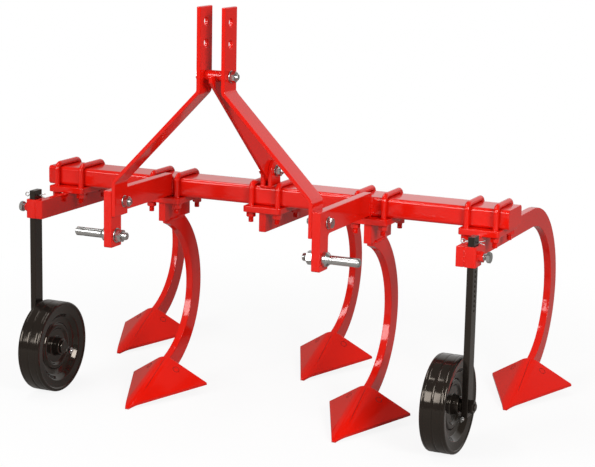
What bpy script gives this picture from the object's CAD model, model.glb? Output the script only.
import logging
from dataclasses import dataclass
from enum import Enum
from math import asin, copysign, cos, pi, radians, sin, tan, tau
from typing import Any, Callable, Sequence

import bmesh
import bpy
from bpy.types import Material, Node, NodeSocket, NodeTree, Object
from mathutils import Matrix, Vector, noise


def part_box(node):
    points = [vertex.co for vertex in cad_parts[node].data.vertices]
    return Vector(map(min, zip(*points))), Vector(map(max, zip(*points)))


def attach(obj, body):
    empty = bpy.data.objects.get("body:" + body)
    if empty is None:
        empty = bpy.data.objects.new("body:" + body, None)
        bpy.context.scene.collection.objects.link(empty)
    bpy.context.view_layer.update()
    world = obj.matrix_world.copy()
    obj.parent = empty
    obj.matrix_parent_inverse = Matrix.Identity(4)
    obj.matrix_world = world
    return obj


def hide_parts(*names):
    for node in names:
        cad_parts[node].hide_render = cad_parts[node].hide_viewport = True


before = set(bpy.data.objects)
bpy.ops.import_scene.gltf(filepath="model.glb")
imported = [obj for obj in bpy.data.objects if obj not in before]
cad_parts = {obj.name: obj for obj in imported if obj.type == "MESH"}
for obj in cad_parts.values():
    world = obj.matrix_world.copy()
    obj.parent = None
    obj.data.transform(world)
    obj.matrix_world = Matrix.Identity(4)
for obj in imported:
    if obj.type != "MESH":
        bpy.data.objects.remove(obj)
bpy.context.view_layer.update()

LOG = logging.getLogger("field_cultivator")
MM = 0.001
UP = Vector((0, 0, 1))
ACROSS = Vector((1, 0, 0))
Colour = tuple[float, float, float]
Profile = Sequence[tuple[float, float]]

# Hexagon fasteners, as shares of the thread's diameter
FLATS = 1.5
HEAD_H = 0.62
NUT_H = 0.8
WASHER_R = 0.925
SHAFT_R = 0.49

# Thickness of a washer, and rise of the usual thread in one turn
WASHER_T = 3.0 * MM
PITCH = 2.0 * MM

# Radius at which a turned end closes on its axis
AXIS_R = 0.5 * MM

# Seed of the noise in the weld beads, which follows the clock when it isn't set
WELD_SEED = 7

# Smallest angle that is rounded as an edge, and smallest that stays a crease
EDGE_ANGLE = radians(28.0)
CREASE_ANGLE = radians(38)


class Slot(Enum):
    """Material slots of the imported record."""

    RED = "red_paint"
    ZINC = "zinc"
    BLACK = "black_enamel"


class Side(Enum):
    """Sides of the machine along X."""

    LEFT = -1
    RIGHT = 1

    @property
    def word(self) -> str:
        """Name of the side as the CAD nodes spell it."""
        return self.name.lower()

    @property
    def out(self) -> Vector:
        """Direction away from the middle."""
        return ACROSS * self.value


class Row(Enum):
    """Rows of shanks."""

    FRONT = "front"
    REAR = "rear"


def feed(tree: NodeTree, node: Node, inputs: dict[Any, Any]) -> None:
    """Sets or links the inputs of a node.

    Args:
        tree: Node tree that the node is in.
        node: The node.
        inputs: Value or source socket of each input, by its name or number.
    """
    for socket, value in inputs.items():
        if isinstance(value, NodeSocket):
            tree.links.new(value, node.inputs[socket])
        else:
            node.inputs[socket].default_value = value


def wire(tree: NodeTree, kind: str, inputs: dict[Any, Any], **settings: str | bool) -> Node:
    """Adds a node with its inputs set or linked.

    Args:
        tree: Node tree that takes the node.
        kind: Type of the node, after the word ShaderNode.
        inputs: Value or source socket of each input, by its name or number.
        settings: Properties of the node, which are set first.

    Returns:
        The node.
    """
    node = tree.nodes.new(f"ShaderNode{kind}")
    for word, value in settings.items():
        setattr(node, word, value)
    feed(tree, node, inputs)
    return node


def cloud(tree: NodeTree, place: NodeSocket, scale: float, detail: float) -> NodeSocket:
    """Adds a noise pattern in the piece's own coordinates.

    Args:
        tree: Node tree that takes the pattern.
        place: Coordinates to read.
        scale: Cycles a metre.
        detail: Octaves of finer noise.

    Returns:
        The pattern's value.
    """
    return wire(tree, "TexNoise", {"Vector": place, "Scale": scale, "Detail": detail}).outputs["Fac"]


@dataclass(frozen=True)
class Finish:
    """Painted or plated surface: mottled tone, uneven gloss and a fine bump.

    Attributes:
        name: Name of the material.
        slot: Slot of the record it stands for.
        tones: Two colours the surface wanders between.
        mottle: Scale of that wander, in cycles a metre.
        gloss: Lowest and highest roughness.
        grain: Scale and depth in metres of the fine bump.
        wave: Scale and depth in metres of the slow bump.
        metallic: Share of bare metal.
        specular: Strength of the plain reflection.
        sheen_tint: Colour of that reflection.
    """

    name: str
    slot: Slot
    tones: tuple[Colour, Colour]
    mottle: float
    gloss: tuple[float, float]
    grain: tuple[float, float]
    wave: tuple[float, float]
    metallic: float = 0.0
    specular: float = 0.5
    sheen_tint: Colour = (1.0, 1.0, 1.0)

    def material(self) -> Material:
        """Makes the material once and hands it out again later.

        Returns:
            The procedural material.
        """
        made = bpy.data.materials.get(self.name)
        if made is not None:
            return made
        made = bpy.data.materials.new(self.name)
        made.use_nodes = True
        tree = made.node_tree
        place = wire(tree, "TexCoord", {}).outputs["Object"]
        tone = wire(tree, "Mix", {
            "Factor": cloud(tree, place, self.mottle, detail=3.0),
            "A": (*self.tones[0], 1), "B": (*self.tones[1], 1)}, data_type="RGBA")
        gloss_scale = self.mottle * 2.3
        rough = wire(tree, "MapRange", {
            "Value": cloud(tree, place, gloss_scale, detail=4.0), "From Min": 0.3, "From Max": 0.7,
            "To Min": self.gloss[0], "To Max": self.gloss[1]})
        facing: dict[str, Any] = {}
        for scale, depth in (self.wave, self.grain):
            height = cloud(tree, place, scale, detail=1.0)
            bump = wire(tree, "Bump", {"Height": height, "Distance": depth, **facing})
            facing = {"Normal": bump.outputs["Normal"]}
        feed(tree, tree.nodes["Principled BSDF"], {
            "Base Color": tone.outputs["Result"], "Roughness": rough.outputs["Result"],
            "Metallic": self.metallic, "Specular IOR Level": self.specular,
            "Specular Tint": (*self.sheen_tint, 1), **facing})
        return made


RED_PAINT = Finish("red_enamel", Slot.RED, ((0.76, 0.010, 0.004), (0.67, 0.008, 0.003)), 9.0,
                   (0.07, 0.13), (900.0, 0.000005), (60.0, 0.00002), specular=0.45)
RED_SEAM = Finish("red_in_seams", Slot.RED, ((0.17, 0.003, 0.002), (0.10, 0.002, 0.002)), 40.0,
                  (0.35, 0.5), (900.0, 0.00002), (60.0, 0.0001), specular=0.3)
ZINC = Finish("bright_zinc", Slot.ZINC, ((0.61, 0.61, 0.60), (0.48, 0.49, 0.49)), 60.0,
              (0.24, 0.34), (1500.0, 0.000002), (220.0, 0.000003), metallic=1.0)
BLACK_ENAMEL = Finish("gloss_black", Slot.BLACK, ((0.009, 0.007, 0.006), (0.014, 0.011, 0.009)), 14.0,
                      (0.07, 0.15), (1200.0, 0.00001), (38.0, 0.00016), sheen_tint=(1.0, 0.88, 0.76))


def axis_frame(at: Vector, along: Vector, turn: float = 0.0) -> Matrix:
    """Frame with its Z along a direction.

    Args:
        at: Origin of the frame.
        along: Direction of its Z.
        turn: Angle about that Z, in radians.

    Returns:
        Matrix from the frame to the machine.
    """
    lie = along.to_track_quat("Z", "Y").to_matrix().to_4x4()
    return Matrix.Translation(at) @ lie @ Matrix.Rotation(turn, 4, "Z")


def lift(height: float) -> Matrix:
    """Step along a frame's own Z."""
    return Matrix.Translation((0, 0, height))


def turns(count: int) -> list[float]:
    """Even angles round a circle."""
    return [tau * k / count for k in range(count)]


def polar(place: Matrix, radius: float, angle: float, height: float = 0.0) -> Vector:
    """Point at a radius, an angle and a height in a frame."""
    return place @ Vector((radius * cos(angle), radius * sin(angle), height))


def middle(node: str) -> Vector:
    """Middle of a CAD node's box."""
    lo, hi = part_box(node)
    return (lo + hi) / 2


def softened(points: Profile, radius: float) -> list[tuple[float, float]]:
    """Rounds the inner corners of an open line of points.

    Args:
        points: Corners of the line.
        radius: Length taken off each side of a corner, at most 0.45 of a side.

    Returns:
        Points of the rounded line.
    """
    steps, most = 4, 0.45
    line = [Vector(p) for p in points]
    out = [tuple(line[0])]
    for before, corner, after in zip(line, line[1:], line[2:]):
        back, on = before - corner, after - corner
        start = corner + back.normalized() * min(radius, most * back.length)
        end = corner + on.normalized() * min(radius, most * on.length)
        for k in range(steps + 1):
            t = k / steps
            out.append(tuple(start.lerp(corner, t).lerp(corner.lerp(end, t), t)))
    out.append(tuple(line[-1]))
    return out


class Shell:
    """Mesh of one piece while it is being made, in metres in the machine's frame."""

    def __init__(self) -> None:
        """Starts with an empty mesh."""
        self.bm = bmesh.new()

    @classmethod
    def of_node(cls, node: str, edge: float) -> "Shell":
        """Copies a CAD node and rounds its edges.

        Args:
            node: Name of the CAD node.
            edge: Width of the round.

        Returns:
            The rounded copy.
        """
        same, flat = 1e-5, radians(0.6)
        shell = cls()
        bm = shell.bm
        bm.from_mesh(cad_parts[node].data)
        bmesh.ops.remove_doubles(bm, verts=bm.verts, dist=same)
        bmesh.ops.dissolve_limit(bm, angle_limit=flat, verts=bm.verts, edges=bm.edges)
        sharp = [e for e in bm.edges if len(e.link_faces) == 2 and e.calc_face_angle(0.0) > EDGE_ANGLE]
        bmesh.ops.bevel(bm, geom=sharp, offset=edge, offset_type="OFFSET", segments=2, profile=0.5,
                        affect="EDGES", clamp_overlap=False)
        return shell

    def placed(self, name: str) -> Object:
        """Ends the mesh and puts it in the scene.

        Args:
            name: Name of the object and its mesh.

        Returns:
            The object.
        """
        mesh = bpy.data.meshes.new(name)
        self.bm.to_mesh(mesh)
        self.bm.free()
        made = bpy.data.objects.new(name, mesh)
        bpy.context.scene.collection.objects.link(made)
        return made

    def loft(self, rings: Sequence[Sequence[Vector]], looped: bool = False) -> None:
        """Skins closed rings of equal count.

        Args:
            rings: Rings in order.
            looped: Whether the last ring joins the first; otherwise both ends are closed.
        """
        rows = [[self.bm.verts.new(p) for p in ring] for ring in rings]
        pairs = list(zip(rows, rows[1:])) + ([(rows[-1], rows[0])] if looped else [])
        for a, b in pairs:
            for i, v in enumerate(a):
                j = (i + 1) % len(a)
                self.bm.faces.new((v, a[j], b[j], b[i]))
        if not looped:
            self.bm.faces.new(rows[0][::-1])
            self.bm.faces.new(rows[-1])

    def turned(self, place: Matrix, profile: Profile, steps: int = 40, looped: bool = False) -> None:
        """Turns a profile about the frame's Z.

        Args:
            place: Frame of the turned part.
            profile: Radius and height of each ring.
            steps: Segments round the axis.
            looped: Whether the profile is closed, as round a bore.
        """
        self.loft([[polar(place, r, a, z) for a in turns(steps)] for r, z in profile], looped)

    def washer(self, place: Matrix, bore: float, rim: float, height: float) -> None:
        """Adds a flat washer standing on the frame's origin.

        Args:
            place: Frame of the washer.
            bore: Inner radius.
            rim: Outer radius.
            height: Thickness.
        """
        bevel = 0.2 * height
        outline = [(bore, 0), (rim - bevel, 0), (rim, bevel), (rim, height - bevel), (rim - bevel, height),
                   (bore, height)]
        self.turned(place, outline, looped=True)

    def hexagon(self, place: Matrix, flats: float, height: float) -> None:
        """Adds a hexagon head or nut with both faces chamfered.

        Args:
            place: Frame whose Z is the axis, its origin on the lower face.
            flats: Width across flats.
            height: Height of the hexagon.
        """
        steps, face_r, slope = 36, 0.465 * flats, 0.58
        rings: list[list[Vector]] = [[], [], [], []]
        for a in turns(steps):
            off_flat = (a + pi / 6) % (pi / 3) - pi / 6
            r = 0.5 * flats / cos(off_flat)
            fall = (r - face_r) * slope
            corners = ((face_r, 0), (r, fall), (r, height - fall), (face_r, height))
            for ring, (radius, z) in zip(rings, corners):
                ring.append(polar(place, radius, a, z))
        self.loft(rings)

    def thread(self, place: Matrix, radius: float, length: float, pitch: float = PITCH) -> None:
        """Adds a screw thread from the frame's origin up, its end chamfered.

        Args:
            place: Frame whose Z is the axis.
            radius: Outer radius.
            length: Length of the thread.
            pitch: Rise of one turn.
        """
        steps, rows_a_turn, depth, chamfer = 24, 4, 0.6 * pitch, 0.9
        rows = max(4, round(rows_a_turn * length / pitch))
        rings = []
        for row in range(rows + 1):
            z = length * row / rows
            most = radius - depth + chamfer * (length - z)
            ring = []
            for k, a in enumerate(turns(steps)):
                phase = (z / pitch - k / steps) % 1.0
                ring.append(polar(place, min(radius - depth * abs(2 * phase - 1), most), a, z))
            rings.append(ring)
        self.loft(rings)

    def nut(self, seat: Matrix, thread_d: float, reach: float, pitch: float = PITCH) -> None:
        """Adds a washer, a nut and the thread through both.

        Args:
            seat: Frame on the clamped face, its Z out of it.
            thread_d: Diameter of the thread.
            reach: Length of the thread from the seat.
            pitch: Rise of one turn.
        """
        self.washer(seat, 0.5 * thread_d, WASHER_R * thread_d, WASHER_T)
        self.hexagon(seat @ lift(WASHER_T), FLATS * thread_d, NUT_H * thread_d)
        self.thread(seat, 0.5 * thread_d, reach, pitch)

    def tube(self, path: Sequence[Vector], radius: Callable[[float], float], sides: int) -> None:
        """Sweeps a round section along a path.

        Args:
            path: Points of the path.
            radius: Radius at a share of the path's points, from 0 to 1.
            sides: Segments round the section.
        """
        rings = []
        across = (path[1] - path[0]).orthogonal().normalized()
        for i, p in enumerate(path):
            along = (path[min(i + 1, len(path) - 1)] - path[max(i - 1, 0)]).normalized()
            across = (across - along * across.dot(along)).normalized()
            over = along.cross(across)
            r = radius(i / (len(path) - 1))
            rings.append([p + (across * cos(a) + over * sin(a)) * r for a in turns(sides)])
        self.loft(rings)

    def bead(self, start: Vector, end: Vector, size: float) -> None:
        """Lays a weld bead with scale marks between two points.

        Args:
            start: One end of the bead.
            end: Other end of the bead.
            size: Radius of the bead.
        """
        mark, rings_a_mark, sides = 4.2 * MM, 4, 10
        stray, stray_scale = 0.22, 160.0
        span = (end - start).length
        count = max(6, round(span / mark * rings_a_mark))
        path = []
        for k in range(count + 1):
            p = start.lerp(end, k / count)
            path.append(p + noise.noise_vector(p * stray_scale) * size * stray)

        def swell(t: float) -> float:
            """Radius at a share of the bead, which tapers at its ends."""
            scale = 0.84 + 0.22 * ((t * span / mark) % 1.0)
            return size * scale * min(1.0, 0.35 + 5.0 * min(t, 1.0 - t))

        self.tube(path, swell, sides)

    def bead_round(self, lo: Vector, hi: Vector, size: float) -> None:
        """Lays beads round a level rectangle.

        Args:
            lo: Its corner at the lowest X and Y, at the beads' height.
            hi: Its corner at the highest X and Y.
            size: Radius of the beads.
        """
        for x in (lo.x, hi.x):
            self.bead(Vector((x, lo.y, lo.z)), Vector((x, hi.y, lo.z)), size)
        for y in (lo.y, hi.y):
            self.bead(Vector((lo.x, y, lo.z)), Vector((hi.x, y, lo.z)), size)


class Workshop:
    """Turns shells into pieces of the machine and keeps count of them."""

    def __init__(self) -> None:
        """Starts with no pieces."""
        self.made = 0

    def add(self, name: str, shell: Shell, finish: Finish, body: str, *nodes: str) -> Object:
        """Makes a piece that rides on a body.

        Args:
            name: Name of the piece.
            shell: Its mesh, which is used up.
            finish: Its surface.
            body: Body it moves with.
            nodes: CAD nodes it stands for.

        Returns:
            The piece.
        """
        bmesh.ops.recalc_face_normals(shell.bm, faces=shell.bm.faces)
        for face in shell.bm.faces:
            face.smooth = True
        piece = shell.placed(name)
        piece.data.set_sharp_from_angle(angle=CREASE_ANGLE)
        piece.data.materials.append(finish.material())
        even = piece.modifiers.new("even_normals", "WEIGHTED_NORMAL")
        even.keep_sharp = True
        if nodes:
            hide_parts(*nodes)
        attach(piece, body)
        self.made += 1
        LOG.info("%s: %d faces, %s, on %s", name, len(piece.data.polygons), finish.name, body)
        return piece

    def dress(self, node: str, finish: Finish, body: str, edge: float) -> None:
        """Replaces a CAD node by its copy with rounded edges.

        Args:
            node: CAD node.
            finish: Its surface.
            body: Body it moves with.
            edge: Width of the round.
        """
        self.add(f"dressed_{node}", Shell.of_node(node, edge), finish, body, node)


@dataclass
class SubAssembly:
    """Pieces of the machine that are made together.

    Attributes:
        shop: Workshop that keeps the pieces.
    """

    shop: Workshop


@dataclass
class HexBolt(SubAssembly):
    """Hexagon bolt along X with a washer at each end, through plates between two faces.

    Attributes:
        node: CAD node it stands for.
        thread_d: Thread diameter.
        near: X of the face under the nut.
        far: X of the face under the head.
        tail: Length of the thread beyond the nut.
        head_turn: Angle of the head about the bolt, in radians.
        nut_turn: Angle of the nut, in radians.
    """

    node: str
    thread_d: float
    near: float
    far: float
    tail: float = 5 * MM
    head_turn: float = 0.35
    nut_turn: float = 1.1

    def build(self) -> None:
        """Makes the bolt."""
        mid, d = middle(self.node), self.thread_d
        out = ACROSS if self.far > self.near else -ACROSS
        head = axis_frame(Vector((self.far, mid.y, mid.z)), out, self.head_turn)
        nut = axis_frame(Vector((self.near, mid.y, mid.z)), -out, self.nut_turn)
        shell = Shell()
        shell.washer(head, 0.5 * d, WASHER_R * d, WASHER_T)
        shell.hexagon(head @ lift(WASHER_T), FLATS * d, HEAD_H * d)
        shell.turned(nut, [(SHAFT_R * d, -abs(self.far - self.near)), (SHAFT_R * d, 0.5 * d)], 24)
        shell.nut(nut, d, WASHER_T + NUT_H * d + self.tail)
        self.shop.add(f"bolt_{self.node}", shell, ZINC, "frame", self.node)


@dataclass
class Toolbar(SubAssembly):
    """Box tube with closed ends.

    Attributes:
        corner: Outside corner radius.
        end_round: Width of the round at the ends.
        steps: Pieces of each corner.
    """

    corner: float = 9.0 * MM
    end_round: float = 1.8 * MM
    steps: int = 6

    def section(self, x: float, inset: float) -> list[Vector]:
        """Ring of the tube.

        Args:
            x: Place along the tube.
            inset: How far the ring is drawn in.

        Returns:
            Points round the section.
        """
        lo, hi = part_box("toolbar")
        mid = (lo + hi) / 2
        r = self.corner - inset
        half_y, half_z = (hi.y - lo.y) / 2 - inset - r, (hi.z - lo.z) / 2 - inset - r
        ring = []
        for quarter, (sy, sz) in enumerate(((1, 1), (-1, 1), (-1, -1), (1, -1))):
            for k in range(self.steps + 1):
                a = pi / 2 * (quarter + k / self.steps)
                y, z = mid.y + sy * half_y + r * cos(a), mid.z + sz * half_z + r * sin(a)
                ring.append(Vector((x, y, z)))
        return ring

    def build(self) -> None:
        """Makes the tube."""
        lo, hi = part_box("toolbar")
        e, ease = self.end_round, 0.3 * self.end_round
        stops = [(lo.x, e), (lo.x + ease, ease), (lo.x + e, 0), (hi.x - e, 0), (hi.x - ease, ease), (hi.x, e)]
        shell = Shell()
        shell.loft([self.section(x, inset) for x, inset in stops])
        self.shop.add("toolbar_tube", shell, RED_PAINT, "frame", "toolbar", "toolbar_caps")


@dataclass
class HitchArm(SubAssembly):
    """Arm from the toolbar to the lower hitch pin, with the pin and its nut.

    Attributes:
        side: Side of the machine.
        edge: Width of the arm's rounds.
        level: Height of the arm's level part.
        thickness: Thickness of the arm.
        weld: Radius of the weld beads.
        pin_r: Radius of the pin.
        pin_l: Length of the pin outside its collar.
        pin_round: Length of the rounds at the pin's inner corners.
        tip: Length of the chamfer at the pin's tip.
        collar_r: Radius of the collar.
        collar_l: Length of the collar.
        taper: Length of its taper to the pin.
        hole_r: Radius of the hole across the pin.
        hole_inset: Distance of that hole from the tip.
        thread_d: Diameter of the threaded root.
        pitch: Rise of that thread in one turn.
        tail: Length of the thread beyond the nut.
        nut_turn: Angle of the nut, in radians.
    """

    side: Side
    edge: float = 1.5 * MM
    level: float = 58 * MM
    thickness: float = 22 * MM
    weld: float = 6.0 * MM
    pin_r: float = 11 * MM
    pin_l: float = 76 * MM
    pin_round: float = 1.6 * MM
    tip: float = 3 * MM
    collar_r: float = 18 * MM
    collar_l: float = 17 * MM
    taper: float = 7 * MM
    hole_r: float = 5.5 * MM
    hole_inset: float = 22 * MM
    thread_d: float = 20 * MM
    pitch: float = 2.5 * MM
    tail: float = 12 * MM
    nut_turn: float = 0.3

    @property
    def arm(self) -> str:
        """CAD node of the arm."""
        return f"hitch_arm_{self.side.word}"

    def build(self) -> None:
        """Makes the arm, its welds and its pin."""
        self.shop.dress(self.arm, RED_PAINT, "frame", self.edge)
        self.welds()
        self.pin()

    def welds(self) -> None:
        """Lays beads round the arm's end on the toolbar."""
        lo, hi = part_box(self.arm)
        bar_lo, bar_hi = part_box("toolbar")
        off, from_foot, from_top = 0.5 * MM, 3 * MM, 2 * MM
        y = bar_lo.y + off
        low, high = max(bar_lo.z + from_foot, hi.z - self.level), bar_hi.z - from_top
        shell = Shell()
        for x in (lo.x - off, hi.x + off):
            shell.bead(Vector((x, y, low)), Vector((x, y, high)), self.weld)
        for z, sunk, size in ((high, 3 * MM, self.weld), (low, 2 * MM, 0.8 * self.weld)):
            shell.bead(Vector((lo.x, y + sunk, z)), Vector((hi.x, y + sunk, z)), size)
        self.shop.add(f"arm_weld_{self.side.word}", shell, RED_PAINT, "frame")

    def pin(self) -> None:
        """Makes the lower hitch pin with its collar, and its washer and nut."""
        node = f"lower_pin_{self.side.word}"
        mid = middle(node)
        face = Vector((max((corner.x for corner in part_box(self.arm)), key=abs), mid.y, mid.z))
        out, d, depth = self.side.out, self.thread_d, self.thickness
        root, end = SHAFT_R * d, self.collar_l + self.pin_l
        outline = softened([
            (AXIS_R, -depth), (root, -depth), (root, 0), (self.collar_r, 0),
            (self.collar_r, self.collar_l - self.taper), (self.pin_r, self.collar_l),
            (self.pin_r, end - self.tip)], self.pin_round)
        outline += [(self.pin_r - self.tip, end), (AXIS_R, end)]
        shell = Shell()
        shell.turned(axis_frame(face, out), outline, 48)
        piece = self.shop.add(f"hitch_pin_{self.side.word}", shell, ZINC, "frame", node)
        self.bore(piece, face + out * (end - self.hole_inset))
        nut = Shell()
        inside = axis_frame(face - out * depth, -out, self.nut_turn)
        nut.nut(inside, d, WASHER_T + NUT_H * d + self.tail, self.pitch)
        self.shop.add(f"hitch_pin_nut_{self.side.word}", nut, ZINC, "frame")

    def bore(self, piece: Object, at: Vector) -> None:
        """Cuts the hole across the pin into its mesh.

        Args:
            piece: The pin.
            at: Middle of the hole.
        """
        cut = Shell()
        r, reach = self.hole_r, 2 * self.pin_r
        cut.turned(axis_frame(at - UP * reach, UP), [(r, 0), (r, 2 * reach)], 32)
        tool = cut.placed("pin_hole")
        hole = piece.modifiers.new("cross_hole", "BOOLEAN")
        hole.operation = "DIFFERENCE"
        hole.solver = "EXACT"
        hole.object = tool
        piece.modifiers.move(len(piece.modifiers) - 1, 0)
        shown = piece.evaluated_get(bpy.context.evaluated_depsgraph_get())
        bored = bpy.data.meshes.new_from_object(shown)
        piece.modifiers.clear()
        piece.data = bored
        bpy.data.objects.remove(tool)


@dataclass
class Mast(SubAssembly):
    """Two bent bars over the hitch, their spacer, the brace to the toolbar and the bolts.

    Attributes:
        edge: Width of the rounds on the bars.
        bolt_d: Thread of the bolts.
        bar_t: Thickness of the bars.
        weld: Radius of the weld beads.
    """

    edge: float = 2.2 * MM
    bolt_d: float = 16 * MM
    bar_t: float = 10 * MM
    weld: float = 3.4 * MM

    def build(self) -> None:
        """Makes the mast."""
        for side in Side:
            self.shop.dress(f"mast_bar_{side.word}", RED_PAINT, "frame", self.edge)
            lo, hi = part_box(f"hitch_arm_{side.word}")
            inner, outer = sorted((lo.x, hi.x), key=abs)
            self.bolt(f"mast_foot_bolt_{side.word}", inner - side.value * self.bar_t, outer)
        for node in ("mast_spacer", "brace", "brace_lugs"):
            self.shop.dress(node, RED_PAINT, "frame", self.edge)
        lo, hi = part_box("mast_spacer")
        self.bolt("mast_bolt", hi.x + self.bar_t, lo.x - self.bar_t)
        lo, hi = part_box("brace_lugs")
        self.bolt("brace_bolt", hi.x, lo.x)
        self.welds()

    def bolt(self, node: str, near: float, far: float) -> None:
        """Makes one of the mast's bolts, from the face under its nut to the face under its head."""
        HexBolt(self.shop, node, self.bolt_d, near, far).build()

    def welds(self) -> None:
        """Lays beads at the lugs' feet and where the brace meets the spacer."""
        shell = Shell()
        shell.bead_round(*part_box("brace_lugs"), self.weld)
        lo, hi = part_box("mast_spacer")
        mid, r = (lo + hi) / 2, (hi.z - lo.z) / 2
        # Angles round the spacer, in radians
        starts, arc = (-2.9, -1.9), 0.9
        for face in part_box("brace"):
            for first in starts:
                start, end = (Vector((face.x, mid.y + r * cos(a), mid.z + r * sin(a)))
                              for a in (first, first + arc))
                shell.bead(start, end, self.weld)
        self.shop.add("mast_weld", shell, RED_PAINT, "frame")


@dataclass
class ShankStation(SubAssembly):
    """Clamp, shank and sweep at one place along the toolbar.

    Attributes:
        number: Place from the left, from 1.
        row: Row the shank belongs to.
        edge: Width of the shank's rounds.
        plate_edge: Width of the clamp plate's rounds.
        sweep_edge: Width of the sweep's rounds.
        rod_r: Radius of the clamp bolts' rod.
        rod_gap: Clearance of the rod at the toolbar's front and rear.
        rod_step: Spacing of the two clamp bolts.
        rod_drop: Length of the thread below the plate.
        rod_end: Length of the plain rod below the plate, inside the thread.
        bend_r: Radius of the bolts' bends.
        weld: Radius of the weld beads.
        weld_front: Distance of a front shank's weld from its block's front end.
        weld_back: Distance of that weld from the block's rear end.
        rake: Rake of the sweep's ridge, in degrees.
        fall: Fall of each wing, in degrees.
        ridge_r: Radius of the rolled ridge.
        plug_r: Radius of the plugs in the wings.
        plug_out: Distance of a plug from the ridge.
        plug_down: Distance of a plug down the ridge.
        line_r: Radius of the lines on the wings.
        bend_from: Start of the bend line, to the side of the ridge and down it.
        bend_run: How far that line goes to the side and down.
    """

    number: int
    row: Row
    edge: float = 1.8 * MM
    plate_edge: float = 1.6 * MM
    sweep_edge: float = 1.3 * MM
    rod_r: float = 7 * MM
    rod_gap: float = 0.2 * MM
    rod_step: float = 75 * MM
    rod_drop: float = 28 * MM
    rod_end: float = 4 * MM
    bend_r: float = 16 * MM
    weld: float = 4.2 * MM
    weld_front: float = 23 * MM
    weld_back: float = 30 * MM
    rake: float = 22.5
    fall: float = 34.5
    ridge_r: float = 40 * MM
    plug_r: float = 8.5 * MM
    plug_out: float = 41 * MM
    plug_down: float = 24 * MM
    line_r: float = 0.6 * MM
    bend_from: tuple[float, float] = (2 * MM, 6 * MM)
    bend_run: tuple[float, float] = (10 * MM, 140 * MM)

    def build(self) -> None:
        """Makes the station."""
        i = self.number
        self.shop.dress(f"clamp_plate_{i}", RED_PAINT, "frame", self.plate_edge)
        self.clamp_bolts()
        self.shop.dress(f"shank_{i}", RED_PAINT, "frame", self.edge)
        if self.row is Row.FRONT:
            self.shop.dress(f"shank_block_{i}", RED_PAINT, "frame", self.edge)
            self.block_welds()
        self.sweep()

    def clamp_bolts(self) -> None:
        """Makes the two U bolts with their threads, washers and nuts."""
        plate_lo, plate_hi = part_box(f"clamp_plate_{self.number}")
        bar_lo, bar_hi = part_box("toolbar")
        mid_x, mid_y = (plate_lo.x + plate_hi.x) / 2, (bar_lo.y + bar_hi.y) / 2
        reach = (bar_hi.y - bar_lo.y) / 2 + self.rod_r + self.rod_gap
        front, back = mid_y - reach, mid_y + reach
        top, foot = bar_hi.z + self.rod_r - self.bend_r, plate_lo.z
        steps = 8
        shell = Shell()
        for side in Side:
            x = mid_x + side.value * self.rod_step / 2
            path = [Vector((x, front, foot - self.rod_end))]
            for centre, first in ((front + self.bend_r, pi), (back - self.bend_r, pi / 2)):
                for k in range(steps + 1):
                    a = first - pi / 2 * k / steps
                    y, z = centre + self.bend_r * cos(a), top + self.bend_r * sin(a)
                    path.append(Vector((x, y, z)))
            path.append(Vector((x, back, foot - self.rod_end)))
            shell.tube(path, lambda t: self.rod_r, 20)
            for y in (front, back):
                nut_turn = 0.4 * side.value + 3.0 * y
                shell.nut(axis_frame(Vector((x, y, foot)), -UP, nut_turn), 2 * self.rod_r, self.rod_drop)
        i = self.number
        self.shop.add(f"clamp_bolt_pair_{i}", shell, RED_PAINT, "frame", f"clamp_bolts_{i}")

    def block_welds(self) -> None:
        """Lays beads between a front shank and its block."""
        lo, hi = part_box(f"shank_block_{self.number}")
        front, back = lo.y + self.weld_front, hi.y - self.weld_back
        shell = Shell()
        shell.bead_round(Vector((lo.x, front, lo.z)), Vector((hi.x, back, lo.z)), self.weld)
        self.shop.add(f"block_weld_{self.number}", shell, RED_PAINT, "frame")

    def sweep(self) -> None:
        """Makes the sweep with the plug rings and the bend line on its wings."""
        self.shop.dress(f"sweep_{self.number}", RED_PAINT, "frame", self.sweep_edge)
        shell = Shell()
        ring = [(self.plug_r + self.line_r * cos(a), self.line_r * sin(a)) for a in turns(8)]
        for side in Side:
            at, face = self.on_wing(side.value * self.plug_out, self.plug_down)
            shell.turned(axis_frame(at, face), ring, looped=True)
        (x, down), (run_x, run_down) = self.bend_from, self.bend_run
        steps = 24
        line = [self.on_wing(x + run_x * k / steps, down + run_down * k / steps)[0] for k in range(steps + 1)]
        shell.tube(line, lambda t: 0.8 * self.line_r * min(1.0, 0.3 + 6 * min(t, 1 - t)), 8)
        self.shop.add(f"sweep_marks_{self.number}", shell, RED_SEAM, "frame")

    def on_wing(self, x: float, down: float) -> tuple[Vector, Vector]:
        """Point of the sweep's upper face.

        Args:
            x: Distance to the side of the ridge.
            down: Distance down the ridge from its upper end.

        Returns:
            The point and the face's direction there.
        """
        rake, fall = radians(self.rake), radians(self.fall)
        along = Vector((0, -cos(rake), -sin(rake)))
        over = Vector((0, -sin(rake), cos(rake)))
        bend = asin(min(abs(x) / self.ridge_r, sin(fall)))
        flat = abs(x) - self.ridge_r * sin(bend)
        drop = self.ridge_r * (1 - cos(bend)) + flat * tan(fall)
        lean = copysign(bend, x)
        return (self.ridge_end() + along * down + ACROSS * x - over * drop,
                over * cos(lean) + ACROSS * sin(lean))

    def ridge_end(self) -> Vector:
        """Point on top of the ridge at the sweep's rear."""
        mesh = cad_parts[f"sweep_{self.number}"].data
        return max((v.co for v in mesh.vertices), key=lambda co: co.z).copy()


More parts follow.
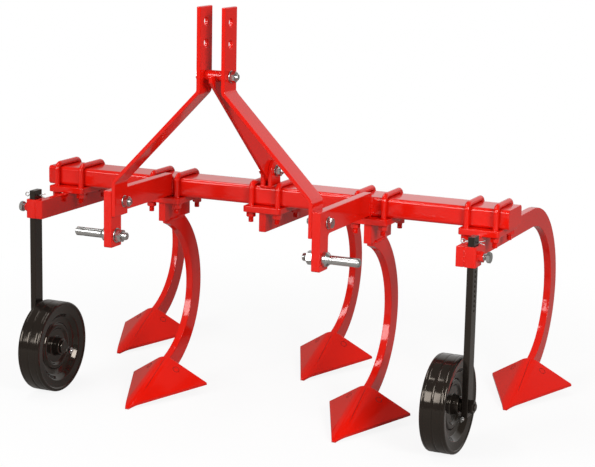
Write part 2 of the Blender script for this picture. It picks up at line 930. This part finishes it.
@dataclass
class GaugeWheel(SubAssembly):
    """Wheel, axle, post, sleeve and set bolt on one side.

    Attributes:
        side: Side of the machine.
        bolt_angle: Angle of the disc's bolt below level, in degrees.
        edge: Width of the sleeve's rounds.
        post_edge: Width of the post's rounds.
        sleeve_w: Width of the sleeve across its walls.
        weld: Radius of the sleeve's weld beads.
        weld_in: Place of those beads in from the sleeve's inner face and from its front and rear.
        nut_weld: Radius of the beads round the sleeve's nut.
        nut_weld_r: Distance of those beads from the bolt's axis.
        bolt_d: Thread of the set bolt.
        bolt_neck: Length of the set bolt between its nut and its head.
        bolt_end: Length of the set bolt inside the sleeve's outer face.
        wire_r: Radius of the split pin's wire.
        axle_d: Diameter of the axle.
        radius: Radius of the wheel.
        width: Width of the wheel.
        bore_r: Radius of the bore.
        hub_r: Radius of the hub.
        hub_taper: How much wider the hub is at its root.
        hub_depth: Depth of that root below the wheel's face.
        disc: Corners from the hub to the tread, in from the tread and below the face, in millimetres.
        groove: Depth and half the width of the groove round the tread.
        wheel_round: Length of the rounds at the corners.
    """

    side: Side
    bolt_angle: float
    edge: float = 1.2 * MM
    post_edge: float = 1.4 * MM
    sleeve_w: float = 30 * MM
    weld: float = 3.3 * MM
    weld_in: tuple[float, float] = (1.6 * MM, 2.6 * MM)
    nut_weld: float = 2.145 * MM
    nut_weld_r: float = 13.44 * MM
    bolt_d: float = 16 * MM
    bolt_neck: float = 8 * MM
    bolt_end: float = 5 * MM
    wire_r: float = 1.28 * MM
    axle_d: float = 20 * MM
    radius: float = 121 * MM
    width: float = 64 * MM
    bore_r: float = 10.05 * MM
    hub_r: float = 22 * MM
    hub_taper: float = 4 * MM
    hub_depth: float = 21 * MM
    disc: tuple[tuple[int, int], ...] = (
        (75, 21), (71, 16), (61, 16), (57, 21), (42, 17), (31, 5), (10, 2), (8, 0), (3, 0), (0, 3), (0, 9),
        (1, 10), (0, 11))
    groove: float = 2 * MM
    wheel_round: float = 3 * MM

    @property
    def post_body(self) -> str:
        """Body the post belongs to."""
        return f"{self.side.word}_post"

    @property
    def wheel_body(self) -> str:
        """Body the wheel belongs to."""
        return f"{self.side.word}_wheel"

    def build(self) -> None:
        """Makes the gauge wheel."""
        self.shop.dress(f"post_sleeve_{self.side.word}", RED_PAINT, "frame", self.edge)
        self.set_bolt()
        self.shop.dress(f"wheel_post_{self.side.word}", BLACK_ENAMEL, self.post_body, self.post_edge)
        self.split_pin()
        self.axle()
        self.wheel()

    def set_bolt(self) -> None:
        """Makes the set bolt, and the welds of the sleeve and of its nut."""
        lo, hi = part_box(f"post_sleeve_{self.side.word}")
        mid, out = (lo + hi) / 2, self.side.out
        inner = min(lo.x, hi.x, key=abs)
        wall = axis_frame(Vector((inner, mid.y, mid.z)) + out * self.sleeve_w, out)
        red = Shell()
        for k in range(6):
            start, end = (polar(wall, self.nut_weld_r, tau * (k + t) / 6) for t in (0.5, 1.3))
            red.bead(start, end, self.nut_weld)
        deep, aside = self.weld_in
        x = inner + self.side.value * deep
        for y in (lo.y + aside, hi.y - aside):
            red.bead(Vector((x, y, lo.z + MM)), Vector((x, y, hi.z - MM)), self.weld)
        self.shop.add(f"sleeve_weld_{self.side.word}", red, RED_PAINT, "frame")
        d = self.bolt_d
        nut_h = NUT_H * d
        head = wall @ lift(nut_h) @ lift(self.bolt_neck)
        bolt = Shell()
        bolt.thread(axis_frame(head.translation, -out), 0.5 * d, nut_h + self.bolt_neck + self.bolt_end)
        bolt.hexagon(head, FLATS * d, HEAD_H * d)
        self.shop.add(f"sleeve_bolt_{self.side.word}", bolt, ZINC, "frame", f"set_bolt_{self.side.word}")

    def split_pin(self) -> None:
        """Makes the split pin through the post's top: an eye at one end, two spread legs at the other."""
        node = f"post_pin_{self.side.word}"
        lo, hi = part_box(node)
        y, z = (lo.y + hi.y) / 2, (lo.z + hi.z) / 2
        r, neck, steps = 5 * MM, 12 * MM, 8
        # Millimetres from the spread end, to the side and up or down, for each leg's first points
        spread = ((2, 2, 5), (10, 0, 2.4), (16, 0, 1.12))
        half_gap = spread[-1][2] * MM
        shell = Shell()
        for leg in (-1, 1):
            path = [Vector((hi.x - back * MM, y + leg * aside * MM, z + leg * up * MM))
                    for back, aside, up in spread]
            path.append(Vector((lo.x + neck, y, z + leg * half_gap)))
            for k in range(1, steps + 1):
                a = pi * (0.12 + 0.88 * k / steps)
                path.append(Vector((lo.x + r + r * cos(a), y, z + leg * r * sin(a))))
            shell.tube(path, lambda t: self.wire_r, 10)
        self.shop.add(f"split_pin_{self.side.word}", shell, ZINC, self.post_body, node)

    def axle(self) -> None:
        """Makes the axle with its collars and nut."""
        node = f"axle_{self.side.word}"
        mid, r = middle(node), 0.5 * self.axle_d
        inner = min((corner.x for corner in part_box(node)), key=abs)
        post, end = sorted(abs(corner.x - inner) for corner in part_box(f"wheel_post_{self.side.word}"))
        place = axis_frame(Vector((inner, mid.y, mid.z)), self.side.out)
        shell = Shell()
        shell.turned(place, softened([(AXIS_R, 0), (r, 0), (r, end), (AXIS_R, end)], MM))
        collar_r, end_collar, post_collar = r + 7 * MM, 4 * MM, 7 * MM
        shell.washer(place, r, collar_r, end_collar)
        shell.washer(place @ lift(post - post_collar), r, collar_r, post_collar)
        nut_h, thread_l, pitch = 12 * MM, 15 * MM, 2.5 * MM
        shell.hexagon(place @ lift(end), FLATS * self.axle_d, nut_h)
        shell.thread(place @ lift(end), r, thread_l, pitch)
        self.shop.add(f"wheel_axle_{self.side.word}", shell, BLACK_ENAMEL, self.post_body, node)

    def profile(self) -> list[tuple[float, float]]:
        """Closed section of the wheel as radius and distance from its middle plane.

        Returns:
            Points of the section, from one end of the bore to the other.
        """
        r, h = self.radius, self.width / 2
        half = [(self.bore_r, h), (self.hub_r, h), (self.hub_r + self.hub_taper, h - self.hub_depth)]
        half += [(r - inset * MM, h - depth * MM) for inset, depth in self.disc]
        half += [(r, self.groove), (r - self.groove, 0)]
        return softened(half + [(p, -q) for p, q in reversed(half[:-1])], self.wheel_round)

    def wheel(self) -> None:
        """Makes the wheel and the bolt in its disc."""
        node = f"wheel_{self.side.word}"
        mid = middle(node)
        shell = Shell()
        shell.turned(axis_frame(mid, ACROSS), self.profile(), 144, looped=True)
        self.shop.add(f"gauge_wheel_{self.side.word}", shell, BLACK_ENAMEL, self.wheel_body, node)
        a = radians(-self.bolt_angle)
        inset, seat_depth = 57 * MM, 19 * MM
        at = mid + Vector((0, cos(a), sin(a))) * (self.radius - inset)
        thread_r, washer_r, washer_t = 5 * MM, 10 * MM, 2 * MM
        flats, nut_h, reach, pitch = 16 * MM, 8 * MM, 14 * MM, 1.5 * MM
        bolt = Shell()
        for out in (ACROSS, -ACROSS):
            seat = axis_frame(at + out * (self.width / 2 - seat_depth), out, a)
            bolt.washer(seat, thread_r, washer_r, washer_t)
            bolt.hexagon(seat @ lift(washer_t), flats, nut_h)
            bolt.thread(seat, thread_r, reach, pitch)
        self.shop.add(f"disc_bolt_{self.side.word}", bolt, ZINC, self.wheel_body)


@dataclass(frozen=True)
class Softbox:
    """Rectangular lamp aimed at the machine.

    Attributes:
        name: Name of the lamp.
        at: Place of the lamp.
        size: Width and height.
        watts: Power.
        target: Point it is aimed at.
    """

    name: str
    at: tuple[float, float, float]
    size: tuple[float, float]
    watts: float
    target: tuple[float, float, float] = (0.0, -0.1, 0.45)

    def build(self) -> None:
        """Hangs the lamp."""
        lamp = bpy.data.lights.new(self.name, "AREA")
        lamp.shape = "RECTANGLE"
        lamp.size, lamp.size_y = self.size
        lamp.energy = self.watts
        holder = bpy.data.objects.new(self.name, lamp)
        holder.location = self.at
        holder.rotation_mode = "QUATERNION"
        holder.rotation_quaternion = (Vector(self.target) - Vector(self.at)).to_track_quat("-Z", "Y")
        bpy.context.scene.collection.objects.link(holder)


@dataclass(frozen=True)
class Gradient:
    """Colour of the surround, which changes along one direction.

    Attributes:
        lean: The direction.
        span: Places along it where the change starts and ends.
        colours: Colours at those two places.
    """

    lean: tuple[float, float, float]
    span: tuple[float, float]
    colours: tuple[Colour, Colour]

    def light(self, tree: NodeTree, strength: float) -> NodeSocket:
        """Adds the gradient to the surround.

        Args:
            tree: Node tree of the surround.
            strength: Strength of its light.

        Returns:
            The light.
        """
        place = wire(tree, "TexCoord", {}).outputs["Generated"]
        dot = wire(tree, "VectorMath", {0: place, 1: self.lean}, operation="DOT_PRODUCT")
        spread = wire(tree, "MapRange", {
            "Value": dot.outputs["Value"], "From Min": self.span[0], "From Max": self.span[1]})
        ramp = wire(tree, "ValToRGB", {"Fac": spread.outputs["Result"]})
        for element, colour in zip(ramp.color_ramp.elements, self.colours):
            element.color = (*colour, 1)
        shown = wire(tree, "Background", {"Color": ramp.outputs["Color"], "Strength": strength})
        return shown.outputs["Background"]


@dataclass(frozen=True)
class Studio:
    """White room: floor, soft surround, lamps and the camera.

    Attributes:
        eye: Place of the camera.
        yaw: Turn of the view to the left, in degrees.
        pitch: Fall of the view, in degrees.
        roll: Tilt of the picture, in degrees.
        lens: Focal length in millimetres.
        sensor: Width of the camera's sensor in millimetres.
        lamps: Lamps round the machine.
        floor_r: Radius of the floor.
        floor_tones: Darkest and palest grey of the floor as the camera sees it.
        bounce: Colour of the floor as it lights the machine.
        glow_span: Distances from the middle between which the floor's own white grows.
        glow_share: Share of that white at those two distances.
        floor_mirrored: Share of that white that gloss shows.
        soft: Surround that lights the machine.
        soft_strength: Strength of that light.
        room: Surround that gloss shows, pale behind the machine and dark elsewhere.
    """

    eye: tuple[float, float, float] = (1.9128, -4.1948, 1.3678)
    yaw: float = 24.31
    pitch: float = 11.47
    roll: float = 1.14
    lens: float = 106.44
    sensor: float = 36.0
    lamps: tuple[Softbox, ...] = (
        Softbox("key_light", (-1.8, -4.2, 2.2), (2.2, 1.8), 100.0),
        Softbox("right_light", (3.4, -2.5, 2.0), (1.4, 1.6), 118.0),
        Softbox("top_light", (-1.15, -0.65, 3.2), (2.2, 0.4), 24.0),
    )
    floor_r: float = 30.0
    floor_tones: tuple[float, float] = (0.88, 0.92)
    bounce: Colour = (0.34, 0.32, 0.30)
    glow_span: tuple[float, float] = (0.6, 1.9)
    glow_share: tuple[float, float] = (0.88, 1.0)
    floor_mirrored: float = 0.08
    soft: Gradient = Gradient((-0.3, -0.9, 0.3), (-0.8, 0.8), ((0.62, 0.60, 0.58), (1.0, 1.0, 1.0)))
    soft_strength: float = 0.46
    room: Gradient = Gradient((0.1, 0.95, 0.3), (0.74, 0.86), ((0.20, 0.18, 0.16), (0.86, 0.86, 0.86)))

    def build(self) -> None:
        """Sets up the room."""
        bpy.context.scene.view_settings.view_transform = "Standard"
        self.camera()
        self.floor()
        self.surround()
        for lamp in self.lamps:
            lamp.build()

    def camera(self) -> None:
        """Makes the camera at the photograph's angle."""
        yaw, pitch, roll = (radians(v) for v in (self.yaw, self.pitch, self.roll))
        level = Vector((cos(yaw), sin(yaw), 0))
        ahead = Vector((-sin(yaw) * cos(pitch), cos(yaw) * cos(pitch), -sin(pitch)))
        rise = level.cross(ahead)
        right = level * cos(roll) + rise * sin(roll)
        up = rise * cos(roll) - level * sin(roll)
        data = bpy.data.cameras.new("photo_camera")
        data.lens = self.lens
        data.sensor_width = self.sensor
        holder = bpy.data.objects.new("photo_camera", data)
        turn = Matrix((right, up, -ahead)).transposed().to_4x4()
        holder.matrix_world = Matrix.Translation(self.eye) @ turn
        bpy.context.scene.collection.objects.link(holder)
        bpy.context.scene.camera = holder

    def floor(self) -> None:
        """Lays a pale floor that keeps the machine's shadow."""
        shell = Shell()
        ring = [polar(Matrix(), self.floor_r, a) for a in turns(96)]
        shell.bm.faces.new([shell.bm.verts.new(p) for p in ring])
        piece = shell.placed("floor")
        paint = bpy.data.materials.new("pale_floor")
        paint.use_nodes = True
        tree = paint.node_tree
        place = wire(tree, "TexCoord", {}).outputs["Object"]
        ramp = wire(tree, "ValToRGB", {"Fac": cloud(tree, place, 3.0, detail=2.0)})
        for element, grey in zip(ramp.color_ramp.elements, self.floor_tones):
            element.color = (grey, grey, grey, 1)
        tone = wire(tree, "Mix", {
            "Factor": wire(tree, "LightPath", {}).outputs["Is Camera Ray"],
            "A": (*self.bounce, 1), "B": ramp.outputs["Color"]}, data_type="RGBA")
        shader = tree.nodes["Principled BSDF"]
        feed(tree, shader, {
            "Base Color": tone.outputs["Result"], "Roughness": 0.9, "Specular IOR Level": 0.0})
        away = wire(tree, "VectorMath", {0: place}, operation="LENGTH")
        share = wire(tree, "MapRange", {
            "Value": away.outputs["Value"], "From Min": self.glow_span[0], "From Max": self.glow_span[1],
            "To Min": self.glow_share[0], "To Max": self.glow_share[1]}, interpolation_type="SMOOTHSTEP")
        part = wire(tree, "Math", {
            0: share.outputs["Result"], 1: self.seen(tree, self.floor_mirrored)}, operation="MULTIPLY")
        glow = wire(tree, "Emission", {}).outputs["Emission"]
        both = wire(tree, "MixShader", {"Fac": part.outputs[0], 1: shader.outputs["BSDF"], 2: glow})
        feed(tree, tree.nodes["Material Output"], {"Surface": both.outputs["Shader"]})
        piece.data.materials.append(paint)

    @staticmethod
    def seen(tree: NodeTree, mirrored: float) -> NodeSocket:
        """Share of the background that a ray gets to see.

        Args:
            tree: Node tree that takes the nodes.
            mirrored: Share for rays off gloss or through glass; the camera's own rays get all of it.

        Returns:
            The share.
        """
        rays = wire(tree, "LightPath", {})
        total = rays.outputs["Is Camera Ray"]
        for kind in ("Is Glossy Ray", "Is Transmission Ray"):
            add = wire(tree, "Math", {0: rays.outputs[kind], 1: mirrored, 2: total},
                       operation="MULTIPLY_ADD", use_clamp=True)
            total = add.outputs[0]
        return total

    def surround(self) -> None:
        """Makes the surround: soft light, the room that gloss shows, and white for the camera."""
        world = bpy.data.worlds.new("surround")
        bpy.context.scene.world = world
        world.use_nodes = True
        tree = world.node_tree
        soft, room = self.soft.light(tree, self.soft_strength), self.room.light(tree, 1.0)
        both = wire(tree, "MixShader", {"Fac": self.seen(tree, 1.0), 1: soft, 2: room})
        white = tree.nodes["Background"]
        feed(tree, white, {"Color": (1.0, 1.0, 1.0, 1), "Strength": 1.0})
        last = wire(tree, "MixShader", {
            "Fac": wire(tree, "LightPath", {}).outputs["Is Camera Ray"],
            1: both.outputs["Shader"], 2: white.outputs["Background"]})
        feed(tree, tree.nodes["World Output"], {"Surface": last.outputs["Shader"]})


def main() -> None:
    """Builds the field cultivator and the room."""
    logging.basicConfig(level=logging.INFO, format="%(name)s %(message)s")
    noise.seed_set(WELD_SEED)
    shop = Workshop()
    Toolbar(shop).build()
    for side in Side:
        HitchArm(shop, side).build()
    Mast(shop).build()
    for number, row in enumerate((Row.REAR, Row.FRONT, Row.REAR, Row.FRONT, Row.REAR), 1):
        ShankStation(shop, number, row).build()
    for side, angle in ((Side.LEFT, 24.0), (Side.RIGHT, 49.0)):
        GaugeWheel(shop, side, angle).build()
    Studio().build()
    LOG.info("%d pieces made", shop.made)


if __name__ == "__main__":
    main()
